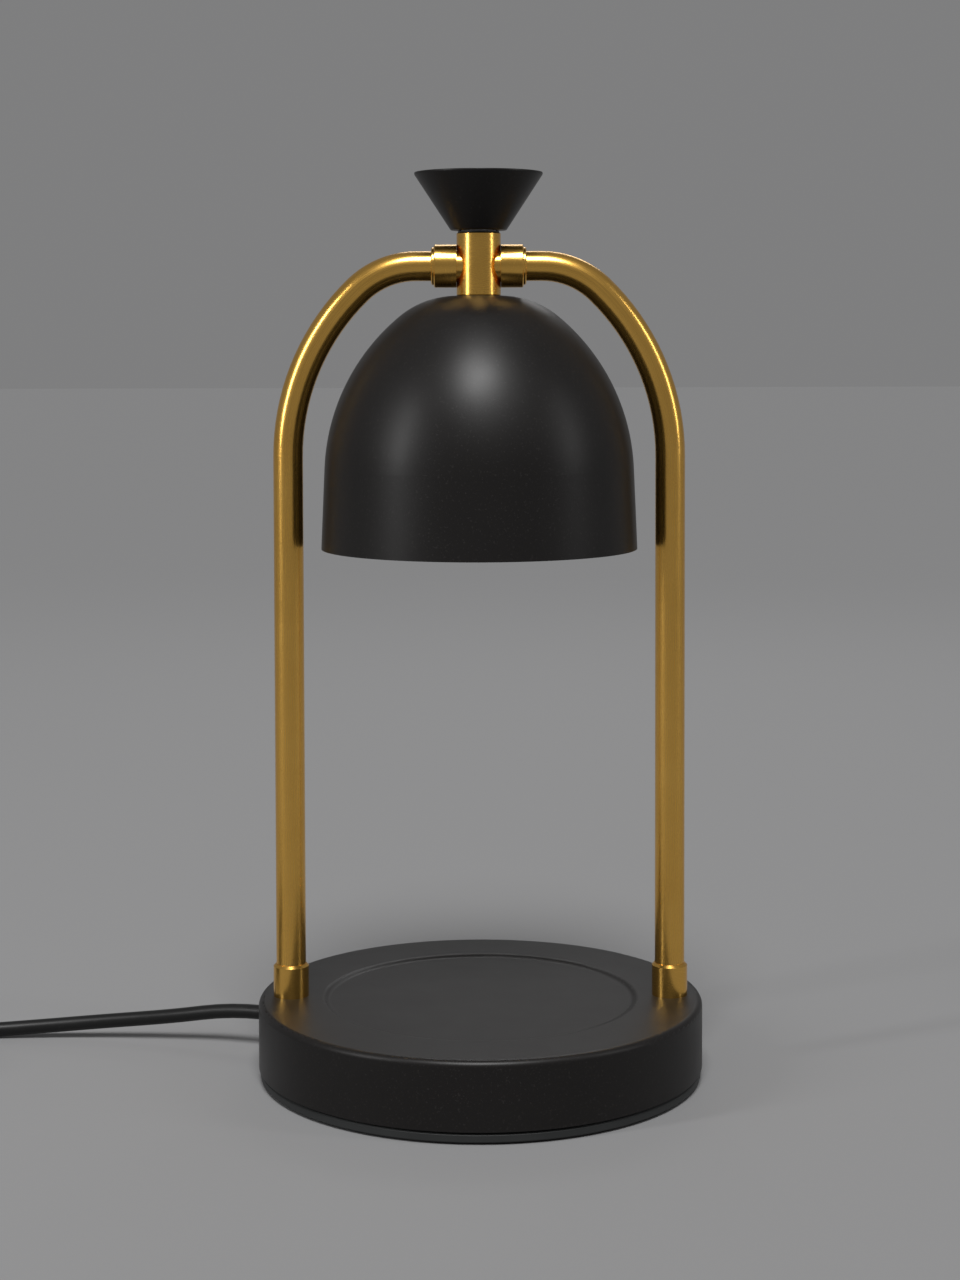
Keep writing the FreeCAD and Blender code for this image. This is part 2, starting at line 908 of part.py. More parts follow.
def grub_hole():
    start = V(grub_position, tube_radius, arch_axis_height)
    return Part.makeCylinder(grub_radius, collar_diameter / 2, start, ALONG_Y)


def grub_screw():
    """A headless screw at the back of a collar, a little below its surface."""
    length = collar_diameter / 2 - tube_radius - grub_below_surface
    start = V(grub_position, tube_radius, arch_axis_height)
    body = Part.makeCylinder(grub_radius - slip_fit, length, start, ALONG_Y)
    socket = hexagon(grub_socket_flats, 0, grub_socket_depth)
    socket = about(socket, -90, CENTRE, ALONG_X)
    return body.cut(moved(socket, start + ALONG_Y * (length - grub_socket_depth)))


def dimmer_body():
    """The round dimmer inside the hub, with a collar through the hub's top wall."""
    top = hub_top - hub_top_wall
    body = rod(dimmer_radius, dimmer_bottom, top)
    body = body.fuse(rod(dimmer_collar_radius, top, hub_top + dimmer_collar_above_hub))
    bore = rod(
        spindle_radius + spindle_clearance,
        spindle_bottom - body_gap,
        hub_top + dimmer_collar_above_hub,
    )
    return body.removeSplitter().cut(bore)


def dimmer_tags():
    """Three solder tags under the dimmer, facing the tube that brings their cable."""
    solids = []
    for k in (-1, 0, 1):
        size = (tag_thickness, tag_width, tag_length)
        solids.append(block(size, tag_radius_from_axis, k * tag_spacing, tag_bottom))
    return group(solids)


def dimmer_washer():
    top = hub_top + dimmer_washer_thickness
    return ring(dimmer_washer_radius, dimmer_collar_radius + slip_fit, hub_top, top)


def dimmer_nut():
    bottom = hub_top + dimmer_washer_thickness
    return nut(dimmer_nut_flats, dimmer_collar_radius + slip_fit, bottom, bottom + dimmer_nut_height)


def dimmer_spindle():
    """The turning shaft, with a flat on its upper end for the knob."""
    shaft = rod(spindle_radius, spindle_bottom, spindle_top)
    return shaft.cut(flat_cutter(spindle_flat, spindle_top - spindle_flat_length, spindle_top + 1))


def flat_cutter(distance, bottom, top):
    """What is cut away beyond a flat that faces +X."""
    width = 4 * spindle_radius
    size = (spindle_radius * 2, width, top - bottom)
    return block(size, distance + spindle_radius, 0, bottom)


def dimmer_knob():
    """The turned cone, recessed below over the dimmer's nut and bored to a D for the spindle."""
    top_radius = knob_diameter / 2
    foot = knob_bottom_diameter / 2
    slope = V(top_radius - foot, 0, knob_height).normalize()
    r = knob_edge_round
    face = outline(
        at(0, knob_bottom),
        at(foot - r, knob_bottom),
        (ALONG_X, at(foot, knob_bottom) + slope * r),
        at(top_radius, knob_top) - slope * (2 * r),
        (slope, at(top_radius - r, knob_top)),
        at(0, knob_top),
    )
    recess = rod(knob_recess_radius, knob_bottom, recess_top)
    bore_top = spindle_top + knob_bore_clearance
    bore = rod(spindle_radius + knob_bore_clearance, recess_top, bore_top)
    flat_bottom = spindle_top - spindle_flat_length + knob_bore_clearance
    keep = flat_cutter(spindle_flat + knob_bore_clearance, flat_bottom, bore_top)
    return turned(face).cut(recess).cut(bore.cut(keep))


def shade_side(inset):
    """Corner points of the shade's side, pushed inwards by inset, and the heading of each arc."""
    turn = math.radians(shade_crown_turn)
    flare = math.radians(shade_skirt_flare)
    crown = shade_crown_radius
    crown_centre = at(shade_flat_radius, shade_top - crown)
    reach = crown * math.sin(turn) + (shade_height - crown + crown * math.cos(turn)) * math.tan(flare)
    widening = math.cos(flare) + (math.sin(flare) - math.cos(turn)) * math.tan(flare) - math.sin(turn)
    shoulder = (shade_mouth_diameter / 2 - shade_flat_radius - reach) / widening
    out = V(math.sin(turn), 0, math.cos(turn))
    shoulder_centre = crown_centre + out * (crown - shoulder)
    change = crown_centre + out * (crown - inset)
    skirt_out = V(math.cos(flare), 0, math.sin(flare))
    skirt_top = shoulder_centre + skirt_out * (shoulder - inset)
    mouth = at(skirt_top.x + (skirt_top.z - shade_rim) * math.tan(flare), shade_rim)
    crown_top = at(shade_flat_radius, shade_top - inset)
    return crown_top, change, skirt_top, mouth


def shade():
    """The spun dome, of even thickness and open below."""
    turn = math.radians(shade_crown_turn)
    flare = math.radians(shade_skirt_flare)
    down_slope = V(math.cos(turn), 0, -math.sin(turn))
    up_skirt = V(-math.sin(flare), 0, math.cos(flare))
    crown_top, change, skirt_top, mouth = shade_side(0.0)
    inner_crown, inner_change, inner_skirt, inner_mouth = shade_side(shade_wall)
    hole = nipple_diameter / 2 + screw_clearance
    face = outline(
        at(hole, shade_top),
        crown_top,
        (ALONG_X, change),
        (down_slope, skirt_top),
        mouth,
        inner_mouth,
        inner_skirt,
        (up_skirt, inner_change),
        (down_slope * -1, inner_crown),
        at(hole, shade_inside_top),
    )
    return turned(face)


def shade_nipple():
    return ring(nipple_diameter / 2, nipple_bore / 2, nipple_bottom, nipple_bottom + nipple_length)


def shade_washer():
    return ring(shade_flat_radius, nipple_diameter / 2 + slip_fit, washer_bottom, shade_inside_top)


def shade_nuts():
    hole = nipple_diameter / 2 + slip_fit
    upper = nut(shade_nut_flats, hole, upper_nut_bottom, washer_bottom)
    lower = nut(shade_nut_flats, hole, lower_nut_bottom, bracket_top - bracket_sheet)
    return group([upper, lower])


def lampholder_bracket():
    """A bent strip: a top that the rod passes through, two legs and two feet turned inwards."""
    half = bracket_span / 2
    outer_bend = bracket_bend_radius
    inner_bend = bracket_bend_radius - bracket_sheet
    t = bracket_sheet
    foot_end = half - bracket_foot
    face = outline(
        V(-half + outer_bend, 0, bracket_top),
        V(half - outer_bend, 0, bracket_top),
        (ALONG_X, V(half, 0, bracket_top - outer_bend)),
        V(half, 0, holder_top + outer_bend),
        (DOWN, V(half - outer_bend, 0, holder_top)),
        V(foot_end, 0, holder_top),
        V(foot_end, 0, holder_top + t),
        V(half - outer_bend, 0, holder_top + t),
        (ALONG_X, V(half - t, 0, holder_top + t + inner_bend)),
        V(half - t, 0, bracket_top - t - inner_bend),
        (UP, V(half - outer_bend, 0, bracket_top - t)),
        V(-half + outer_bend, 0, bracket_top - t),
        (V(-1, 0, 0), V(-half + t, 0, bracket_top - t - inner_bend)),
        V(-half + t, 0, holder_top + t + inner_bend),
        (DOWN, V(-half + outer_bend, 0, holder_top + t)),
        V(-foot_end, 0, holder_top + t),
        V(-foot_end, 0, holder_top),
        V(-half + outer_bend, 0, holder_top),
        (V(-1, 0, 0), V(-half, 0, holder_top + outer_bend)),
        V(-half, 0, bracket_top - outer_bend),
        (UP, V(-half + outer_bend, 0, bracket_top)),
    )
    strip = moved(face, ALONG_Y * (-bracket_width / 2)).extrude(ALONG_Y * bracket_width)
    holes = [rod(nipple_diameter / 2 + slip_fit, bracket_top - t, bracket_top)]
    for place in holder_screw_places():
        holes.append(rod(m3_radius + screw_clearance, holder_top, holder_top + t, place.x))
    return strip.cut(group(holes))


def holder_screw_places():
    return [V(side * holder_screw_spacing / 2, 0, 0) for side in (-1, 1)]


def arc_slot(width, bottom, top, start, sweep):
    """A curved slot on the circle of the pins, from start through sweep degrees."""
    middle = pin_spacing / 2
    outer = Part.makeCylinder(middle + width / 2, top - bottom, V(0, 0, bottom), UP, sweep)
    inner = rod(middle - width / 2, bottom, top)
    band = about(outer.cut(inner), start)
    ends = [polar(middle, angle) for angle in (start, start + sweep)]
    return band.fuse([rod(width / 2, bottom, top, p.x, p.y) for p in ends])


def lampholder():
    """The ceramic holder, with keyhole slots in which the bulb's headed pins turn."""
    radius = holder_diameter / 2
    chamfer = holder_edge_chamfer
    face = outline(
        at(0, holder_bottom),
        at(radius - chamfer, holder_bottom),
        at(radius, holder_bottom + chamfer),
        at(radius, holder_top - chamfer),
        at(radius - chamfer, holder_top),
        at(0, holder_top),
    )
    seat = holder_bottom + slot_seat
    roof = holder_bottom + slot_depth
    cuts = []
    for rest_angle in (90.0, 270.0):
        start = rest_angle - unlock_turn
        shank_width = 2 * (pin_radius + slot_side_clearance)
        head_width = 2 * (pin_head_radius + slot_side_clearance)
        entry = polar(pin_spacing / 2, start)
        cuts.append(arc_slot(shank_width, holder_bottom, seat, start, unlock_turn))
        cuts.append(arc_slot(head_width, seat, roof, start, unlock_turn))
        cuts.append(rod(head_width / 2, holder_bottom, seat, entry.x, entry.y))
    body = turned(face)
    for cut in cuts:
        body = body.cut(cut)
    screw_hole = m3_radius + screw_clearance
    for place in holder_screw_places():
        body = body.cut(rod(screw_hole, holder_bottom, holder_top, place.x))
    return body


def lampholder_screws():
    one = screw(holder_screw_length, m3_radius, m3_head_radius, m3_head_height, False)
    seat = holder_top + bracket_sheet
    return group([moved(one, V(p.x, 0, seat)) for p in holder_screw_places()])


def reflector_points():
    """Height and radius where the reflector's neck, bowl and rim begin."""
    neck_top = bulb_top - bulb_base_height + reflector_neck_pocket
    bowl_top = bulb_top - bulb_base_height
    bowl_bottom = bulb_front + bulb_rim_height
    return neck_top, bowl_top, bowl_bottom


def bulb_base():
    """The bulb's ceramic cap, with a pocket below for the reflector's neck."""
    neck_top, bowl_top, bowl_bottom = reflector_points()
    radius = bulb_base_diameter / 2
    chamfer = bulb_base_chamfer
    face = outline(
        at(0, bulb_top),
        at(radius - chamfer, bulb_top),
        at(radius, bulb_top - chamfer),
        at(radius, bowl_top),
        at(reflector_neck_radius + slip_fit, bowl_top),
        at(reflector_neck_radius + slip_fit, neck_top),
        at(0, neck_top),
    )
    return turned(face)


def bulb_pins():
    """Two contact pins whose heads hang in the lampholder."""
    solids = []
    for angle in (90.0, 270.0):
        place = polar(pin_spacing / 2, angle)
        head_bottom = bulb_top + pin_length - pin_head_height
        shank = rod(pin_radius, bulb_top, head_bottom, place.x, place.y)
        head = rod(pin_head_radius, head_bottom, bulb_top + pin_length, place.x, place.y)
        solids.append(shank.fuse(head).removeSplitter())
    return group(solids)


def bulb_reflector():
    """The glass bowl in rows of facets, from its neck to the rim that holds the front glass."""
    neck_top, bowl_top, bowl_bottom = reflector_points()
    rim = bulb_diameter / 2
    neck = reflector_neck_radius
    wall = reflector_wall
    glass_top = bulb_front + glass_recess + glass_thickness
    start = at(neck, bowl_top)
    end = at(rim - bulb_rim_step, bowl_bottom)
    across = (end - start).normalize()
    outward = V(-across.z, 0, across.x)
    bulge = (start + end) * 0.5 + outward * reflector_bulge
    inner_start = at(neck - wall, bowl_top)
    inner_end = at(rim - bulb_rim_step - wall, bowl_bottom)
    inner_bulge = (inner_start + inner_end) * 0.5 + outward * reflector_bulge
    rim_corners = [
        at(rim, bowl_bottom - bulb_rim_bevel),
        at(rim, bulb_front),
        at(rim - wall, bulb_front),
        at(rim - wall, glass_top),
        at(rim - 2 * wall, glass_top),
    ]
    outside = Part.Arc(start, bulge, end).discretize(Number=reflector_facet_rows + 1)
    inside = Part.Arc(inner_end, inner_bulge, inner_start).discretize(Number=reflector_facet_rows + 1)
    neck_corners = [at(neck - wall, neck_top), at(neck, neck_top)]
    return turned(outline(*outside, *rim_corners, *inside, *neck_corners))


def bulb_front_glass():
    radius = bulb_diameter / 2 - reflector_wall - slip_fit
    bottom = bulb_front + glass_recess
    return rod(radius, bottom, bottom + glass_thickness)


def bulb_capsule():
    """The inner quartz capsule, a stem with a round tip."""
    neck_top, bowl_top, bowl_bottom = reflector_points()
    tip = neck_top - capsule_length
    stem = rod(capsule_radius, tip + capsule_radius, neck_top)
    return stem.fuse(Part.makeSphere(capsule_radius, V(0, 0, tip + capsule_radius))).removeSplitter()


def cable_in_base(side):
    """From the board up and outwards to the foot of a post, as straight runs and quarter bends."""
    landing = V(side * cable_landing, 0, board_top)
    turn_up = V(side * cable_landing, 0, cable_height_in_base - cable_bend)
    level_in = V(side * (cable_landing + cable_bend), 0, cable_height_in_base)
    level_out = V(side * (post_x - cable_bend), 0, cable_height_in_base)
    rise = V(side * post_x, 0, cable_height_in_base + cable_bend)
    outward = V(side, 0, 0)
    return [
        Part.LineSegment(landing, turn_up),
        arc_from(turn_up, UP, level_in),
        Part.LineSegment(level_in, level_out),
        arc_from(level_out, outward, rise),
        Part.LineSegment(rise, V(side * post_x, 0, base_height)),
    ]


def lamp_cable():
    """From the board through the left post and arch, then down into the lampholder."""
    arch = tube_path(cable_bend)
    bend_end = V(0, 0, arch_axis_height - cable_bend)
    down = arc_from(V(cable_bend, 0, arch_axis_height), ALONG_X * -1, bend_end)
    drop = Part.LineSegment(bend_end, V(0, 0, holder_top))
    path = wire_of(cable_in_base(1) + arch + [down, drop])
    return other_side(pipe(path, lamp_cable_radius, cable_sides))


def dimmer_cable():
    """From the board through the right post and arch to the tags of the dimmer."""
    arch = tube_path(tag_radius_from_axis + tag_thickness / 2)
    path = wire_of(cable_in_base(1) + arch)
    return pipe(path, dimmer_cable_radius, cable_sides)


def rounded_route(points):
    """Straight runs joined by tangent arcs as large as their two runs allow, and the arcs' radii."""
    curves = []
    radii = []
    here = points[0]
    for before, corner, after in zip(points, points[1:], points[2:]):
        arriving = (corner - before).normalize()
        leaving = (after - corner).normalize()
        reach = bend_share * min((corner - before).Length, (after - corner).Length)
        turn = arriving.getAngle(leaving)
        radii.append(reach / math.tan(turn / 2))
        arc_start = corner - arriving * reach
        arc_end = corner + leaving * reach
        curves.append(Part.LineSegment(here, arc_start))
        curves.append(arc_from(arc_start, arriving, arc_end))
        here = arc_end
    curves.append(Part.LineSegment(here, points[-1]))
    return curves, radii


def biarc(start, heading, end, end_heading):
    """Two tangent arcs that join two points with given headings."""
    span = end - start
    both = heading + end_heading
    a = 4 - both.dot(both)
    b = 2 * span.dot(both)
    c = -span.dot(span)
    reach = (-b + math.sqrt(b * b - 4 * a * c)) / (2 * a)
    first = start + heading * reach
    second = end - end_heading * reach
    joint = (first + second) * 0.5
    across = (second - first).normalize()
    return [arc_from(start, heading, joint), arc_from(joint, across, end)]


def coil_radius(angle):
    """Steadily inwards to the middle of the winding and out again."""
    middle = coil_start_angle + coil_total_turn / 2
    innermost = coil_outer_radius - coil_pitch * coil_total_turn / FULL_TURN / 2
    return innermost + coil_pitch * abs(angle - middle) / FULL_TURN


def coil_point(angle):
    """A point of the coil and its heading, on the lower layer, the climb or the upper layer."""
    middle = coil_start_angle + coil_total_turn / 2
    half_lift = coil_lift_quarters * 90.0 / 2
    share = min(max((angle - middle + half_lift) / (2 * half_lift), 0.0), 1.0)
    height = cord_radius + coil_pitch * share
    radius = coil_radius(angle)
    place = V(coil_centre_x, coil_centre_y, height) + polar(radius, angle)
    per_radian = coil_pitch / (2 * math.pi)
    inwards = 0.0
    if angle < middle - TINY:
        inwards = -per_radian
    if angle > middle + TINY:
        inwards = per_radian
    rising = 0.0
    if abs(angle - middle) < half_lift - TINY:
        rising = coil_lift_slope * coil_pitch / math.radians(2 * half_lift)
    heading = polar(1.0, angle) * inwards + polar(radius, angle + 90.0) + UP * rising
    return place, heading.normalize()


def coil_angles():
    """Quarter turns each side of the middle, with what is left over at both ends."""
    middle = coil_start_angle + coil_total_turn / 2
    end = coil_start_angle + coil_total_turn
    angles = [middle + 90.0 * k for k in range(-coil_quarters_in, coil_quarters_in + 1)]
    return [coil_start_angle] + angles + [end]


def coil_curves():
    """The coil's centre line, with a straight diameter at its start and a longer one at its end."""
    places = [coil_point(angle) for angle in coil_angles()]
    first, first_heading = places[0]
    last, last_heading = places[-1]
    curves = [Part.LineSegment(first - first_heading * cord_diameter, first)]
    for (start, heading), (end, end_heading) in zip(places, places[1:]):
        curves += biarc(start, heading, end, end_heading)
    curves.append(Part.LineSegment(last, last + last_heading * coil_end_run))
    return curves


def free_cord_points():
    """The exit, the hand-placed points and the start of the coil."""
    exit_point = polar(relief_end, exit_angle, exit_height)
    first = exit_point + polar(cord_first_run, exit_angle)
    coil_start, heading = coil_point(coil_start_angle)
    end = coil_start - heading * cord_diameter
    return [exit_point, first] + list(cord_points) + [end - heading * cord_last_run, end]


def power_cord():
    curves, radii = rounded_route(free_cord_points())
    path = wire_of(curves)
    tube = pipe(path, cord_radius)
    print("cord bend radii", [round(radius, 1) for radius in radii])
    report_tube("power_cord", tube, path, math.pi * cord_radius ** 2)
    return tube


def cord_coil():
    path = wire_of(coil_curves())
    tube = pipe(path, cord_radius, coil_sides)
    area = coil_sides / 2 * cord_radius ** 2 * math.sin(2 * math.pi / coil_sides)
    report_tube("cord_coil", tube, path, area)
    print("cord_coil least gap to itself", round(least_gap(path), 2))
    return tube


def report_tube(name, tube, path, area):
    print(name, "length", round(path.Length, 1), "volume share", round(tube.Volume / area / path.Length, 4))


def least_gap(path):
    """The least distance between two turns, less the cord's diameter, on points along the path."""
    step = cord_radius
    points = path.discretize(Distance=step)
    apart = int(math.pi * cord_diameter / step)
    least = min(
        points[i].distanceToPoint(points[j])
        for i in range(len(points))
        for j in range(i + apart, len(points))
    )
    return least - cord_diameter


def plug_frame():
    """Where the cord enters the plug and the heading of the cord there."""
    last, heading = coil_point(coil_start_angle + coil_total_turn)
    return last + heading * coil_end_run, heading


def rounded_section(width, height, corner, distance):
    """A rectangle with round corners across +X, at a distance along it."""
    y = width / 2 - corner
    z = height / 2 - corner
    left = V(0, -1, 0)
    return outline(
        V(distance, y, height / 2),
        (ALONG_Y, V(distance, width / 2, z)),
        V(distance, width / 2, -z),
        (DOWN, V(distance, y, -height / 2)),
        V(distance, -y, -height / 2),
        (left, V(distance, -width / 2, -z)),
        V(distance, -width / 2, z),
        (UP, V(distance, -y, height / 2)),
    ).OuterWire


def place_on_plug(shape):
    """From a frame along +X with the cord's end at the origin to the plug's own place."""
    entry, heading = plug_frame()
    return moved(about(shape, math.degrees(math.atan2(heading.y, heading.x))), entry)


def plug_body():
    """The moulded plug: a ribbed tapering tail, shoulders, a waist to grip and a flat front."""
    thickness = 2 * plug_axis_height
    tail_end = plug_tail_length
    front = tail_end + plug_body_length
    waist = plug_waist_share * plug_width
    waist_start = tail_end + plug_waist_start_share * plug_body_length
    waist_end = tail_end + plug_waist_end_share * plug_body_length
    front_start = tail_end + plug_front_share * plug_body_length
    sections = [
        rounded_section(plug_shoulder_width, plug_shoulder_height, plug_corner, tail_end),
        rounded_section(waist, thickness, plug_corner, waist_start),
        rounded_section(waist, thickness, plug_corner, waist_end),
        rounded_section(plug_width, thickness, plug_corner, front_start),
        rounded_section(plug_width, thickness, plug_corner, front),
    ]
    body = Part.makeLoft(sections, True, True)
    tail = Part.makeCone(plug_tail_end_radius, plug_tail_start_radius, tail_end, CENTRE, ALONG_X)
    body = body.fuse(tail).removeSplitter()
    grooves = []
    for k in range(plug_groove_count):
        place = V(tail_end * (k + 1) / (plug_groove_count + 1), 0, 0)
        groove = Part.makeCylinder(2 * plug_tail_start_radius, plug_groove_width, place, ALONG_X)
        floor_radius = cord_radius + plug_groove_over_cord
        grooves.append(groove.cut(Part.makeCylinder(floor_radius, plug_groove_width, place, ALONG_X)))
    return place_on_plug(body.cut(group(grooves)))


def plug_blades():
    front = plug_tail_length + plug_body_length
    tip = front + blade_length
    solids = []
    for side in (-1, 1):
        y = side * blade_spacing / 2
        size = (blade_length, blade_thickness, blade_width)
        blade = block(size, front + blade_length / 2, y, -blade_width / 2)
        hole_start = V(tip - blade_hole_from_tip, y - blade_thickness, 0)
        hole = Part.makeCylinder(blade_hole_radius, 2 * blade_thickness, hole_start, ALONG_Y)
        solids.append(blade.cut(hole))
    return place_on_plug(group(solids))


nodes = {
    "base_cover": base_cover(),
    "cover_standoffs": standoffs(),
    "bottom_plate": bottom_plate(),
    "foot_pad": foot_pad(),
    "bottom_screws": screws_from_below(
        [polar(cover_screw_circle / 2, angle) for angle in cover_screw_angles],
        cover_screw_length,
        m3_radius,
        m3_head_radius,
        m3_head_height,
    ),
    "base_weight": base_weight(),
    "weight_screws": screws_from_below(
        weight_screw_places(), weight_screw_length, m4_radius, m4_head_radius, m4_head_height
    ),
    "circuit_board": circuit_board(),
    "board_screws": board_screws(),
    "mains_terminal": terminal_block(),
    "filter_capacitor": capacitor(),
    "filter_choke": choke(),
    "dimmer_triac": triac(),
    "cord_clamp": cord_clamp(),
    "cord_clamp_screws": clamp_screws(),
    "cord_tail": cord_tail(),
    "mains_leads": mains_leads(),
    "cord_strain_relief": strain_relief(),
    "power_cord": power_cord(),
    "cord_coil": cord_coil(),
    "plug_body": plug_body(),
    "plug_blades": plug_blades(),
    "right_arch_tube": arch_tube(),
    "left_arch_tube": other_side(arch_tube()),
    "right_post_ferrule": ferrule(),
    "left_post_ferrule": other_side(ferrule()),
    "post_studs": group([post_stud(), other_side(post_stud())]),
    "post_washers": group([post_washer(), other_side(post_washer())]),
    "post_nuts": group([post_nut(), other_side(post_nut())]),
    "centre_hub": centre_hub(),
    "right_hub_collar": hub_collar(),
    "left_hub_collar": hub_collar().mirror(CENTRE, ALONG_X),
    "collar_grub_screws": group([grub_screw(), grub_screw().mirror(CENTRE, ALONG_X)]),
    "dimmer_body": dimmer_body(),
    "dimmer_tags": dimmer_tags(),
    "dimmer_washer": dimmer_washer(),
    "dimmer_nut": dimmer_nut(),
    "dimmer_spindle": dimmer_spindle(),
    "dimmer_knob": dimmer_knob(),
    "dimmer_cable": dimmer_cable(),
    "lamp_cable": lamp_cable(),
    "shade": shade(),
    "shade_nipple": shade_nipple(),
    "shade_washer": shade_washer(),
    "shade_nuts": shade_nuts(),
    "lampholder_bracket": lampholder_bracket(),
    "lampholder": lampholder(),
    "lampholder_screws": lampholder_screws(),
    "bulb_base": bulb_base(),
    "bulb_pins": bulb_pins(),
    "bulb_reflector": bulb_reflector(),
    "bulb_front_glass": bulb_front_glass(),
    "bulb_capsule": bulb_capsule(),
}

for name, shape in nodes.items():
    if not shape.isValid() or shape.Volume <= 0:
        print("not sound:", name, shape.isValid(), shape.Volume)
    shape.exportStep("parts/" + name + ".step")
print(len(nodes), "nodes")
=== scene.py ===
import math

import bpy
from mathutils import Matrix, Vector


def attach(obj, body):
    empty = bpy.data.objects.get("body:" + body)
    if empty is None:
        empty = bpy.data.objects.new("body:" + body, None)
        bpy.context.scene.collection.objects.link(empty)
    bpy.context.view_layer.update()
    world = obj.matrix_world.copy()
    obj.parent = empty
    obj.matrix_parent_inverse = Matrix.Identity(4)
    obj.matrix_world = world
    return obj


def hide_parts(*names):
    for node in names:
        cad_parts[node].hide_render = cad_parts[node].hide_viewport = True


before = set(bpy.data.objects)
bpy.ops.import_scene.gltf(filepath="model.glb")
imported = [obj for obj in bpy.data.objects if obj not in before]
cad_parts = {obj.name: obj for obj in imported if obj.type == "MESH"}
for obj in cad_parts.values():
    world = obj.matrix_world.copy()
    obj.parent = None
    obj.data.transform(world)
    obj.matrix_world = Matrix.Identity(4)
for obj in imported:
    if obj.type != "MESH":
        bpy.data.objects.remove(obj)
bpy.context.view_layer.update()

MM = 0.001

# The camera, as fitted to the photograph of 960 by 1280 pixels.
IMAGE_WIDTH = 960
IMAGE_HEIGHT = 1280
FOCAL_PIXELS = 2350.0
SENSOR_MM = 36.0
PRINCIPAL_PIXEL = (477.7, 450.7)
CAMERA_PLACE = Vector((-0.39, -788.9, 247.8)) * MM
CAMERA_PITCH_DOWN = 2.647
CAMERA_ROLL = 0.141

# The arch's centre line, in millimetres and degrees, for the direction of its brushing.
POST_X = 64.2
AXIS_HEIGHT = 273.2
SHADE_MIDDLE_HEIGHT = 205.0
LOWER_BEND_RADIUS = 77.6
UPPER_BEND_RADIUS = 28.0
LOWER_BEND_TURN = 46.0

# The mains cord. Its route and its coil are those of the solid that it stands for.
CORD_DIAMETER = 5.0
EXIT_ANGLE = 160.0
EXIT_RADIUS = 81.5
EXIT_HEIGHT = 12.4
FIRST_RUN = 12.0
CORD_POINTS = (
    (-109.4, 36.6, 8.6),
    (-133.2, 39.3, 6.2),
    (-157.2, 40.3, 4.0),
    (-179.2, 39.9, 2.5),
)
LAST_RUN = 17.0
COIL_CENTRE = (-222.5, -3.3)
COIL_MIDDLE_RADIUS = 30.1
COIL_PITCH = 5.5
COIL_START_ANGLE = 94.0
COIL_TOTAL_TURN = 86.0 + 7 * 360.0
COIL_CLIMB_TURN = 180.0
COIL_POINTS_PER_TURN = 16
COIL_END_RUN = 25.0


class Nodes:
    """Builds a material node by node and wires what it is given."""

    def __init__(self, name):
        self.material = bpy.data.materials.new(name)
        self.material.use_nodes = True
        self.tree = self.material.node_tree
        self.tree.nodes.clear()
        self.shader = self.add("ShaderNodeBsdfPrincipled")
        output = self.add("ShaderNodeOutputMaterial")
        self.tree.links.new(self.shader.outputs["BSDF"], output.inputs["Surface"])

    def add(self, kind, **settings):
        node = self.tree.nodes.new(kind)
        for key, value in settings.items():
            setattr(node, key, value)
        return node

    def put(self, socket, value):
        """A value or another node's output goes into a socket."""
        if isinstance(value, bpy.types.NodeSocket):
            self.tree.links.new(value, socket)
        else:
            socket.default_value = value

    def math(self, operation, *values):
        node = self.add("ShaderNodeMath", operation=operation)
        for socket, value in zip(node.inputs, values):
            self.put(socket, value)
        return node.outputs[0]

    def vector_math(self, operation, *values):
        node = self.add("ShaderNodeVectorMath", operation=operation)
        for socket, value in zip(node.inputs, values):
            self.put(socket, value)
        scalar = operation in ("DOT_PRODUCT", "LENGTH", "DISTANCE")
        return node.outputs["Value" if scalar else "Vector"]

    def object_point(self):
        return self.add("ShaderNodeTexCoord").outputs["Object"]

    def split(self, vector):
        node = self.add("ShaderNodeSeparateXYZ")
        self.put(node.inputs[0], vector)
        return node.outputs

    def join(self, x, y, z):
        node = self.add("ShaderNodeCombineXYZ")
        for socket, value in zip(node.inputs, (x, y, z)):
            self.put(socket, value)
        return node.outputs[0]

    def scaled(self, vector, factors):
        return self.vector_math("MULTIPLY", vector, factors)

    def noise(self, vector, scale, detail=2.0, rough=0.5):
        node = self.add("ShaderNodeTexNoise")
        self.put(node.inputs["Vector"], vector)
        self.put(node.inputs["Scale"], scale)
        self.put(node.inputs["Detail"], detail)
        self.put(node.inputs["Roughness"], rough)
        return node.outputs["Fac"]

    def span(self, value, low, high, to_low=0.0, to_high=1.0):
        node = self.add("ShaderNodeMapRange")
        self.put(node.inputs["Value"], value)
        self.put(node.inputs["From Min"], low)
        self.put(node.inputs["From Max"], high)
        self.put(node.inputs["To Min"], to_low)
        self.put(node.inputs["To Max"], to_high)
        return node.outputs[0]

    def mix(self, share, first, second):
        node = self.add("ShaderNodeMix", data_type="RGBA")
        self.put(node.inputs["Factor"], share)
        self.put(node.inputs["A"], first)
        self.put(node.inputs["B"], second)
        return node.outputs["Result"]

    def bump(self, height, distance, strength=1.0, after=None):
        node = self.add("ShaderNodeBump")
        self.put(node.inputs["Height"], height)
        self.put(node.inputs["Distance"], distance)
        self.put(node.inputs["Strength"], strength)
        if after is not None:
            self.put(node.inputs["Normal"], after)
        return node.outputs["Normal"]

    def finish(self, **inputs):
        """Principled inputs by name, with underscores for spaces."""
        for key, value in inputs.items():
            self.put(self.shader.inputs[key.replace("_", " ")], value)
        return self.material


def rgba(red, green, blue):
    return (red, green, blue, 1.0)


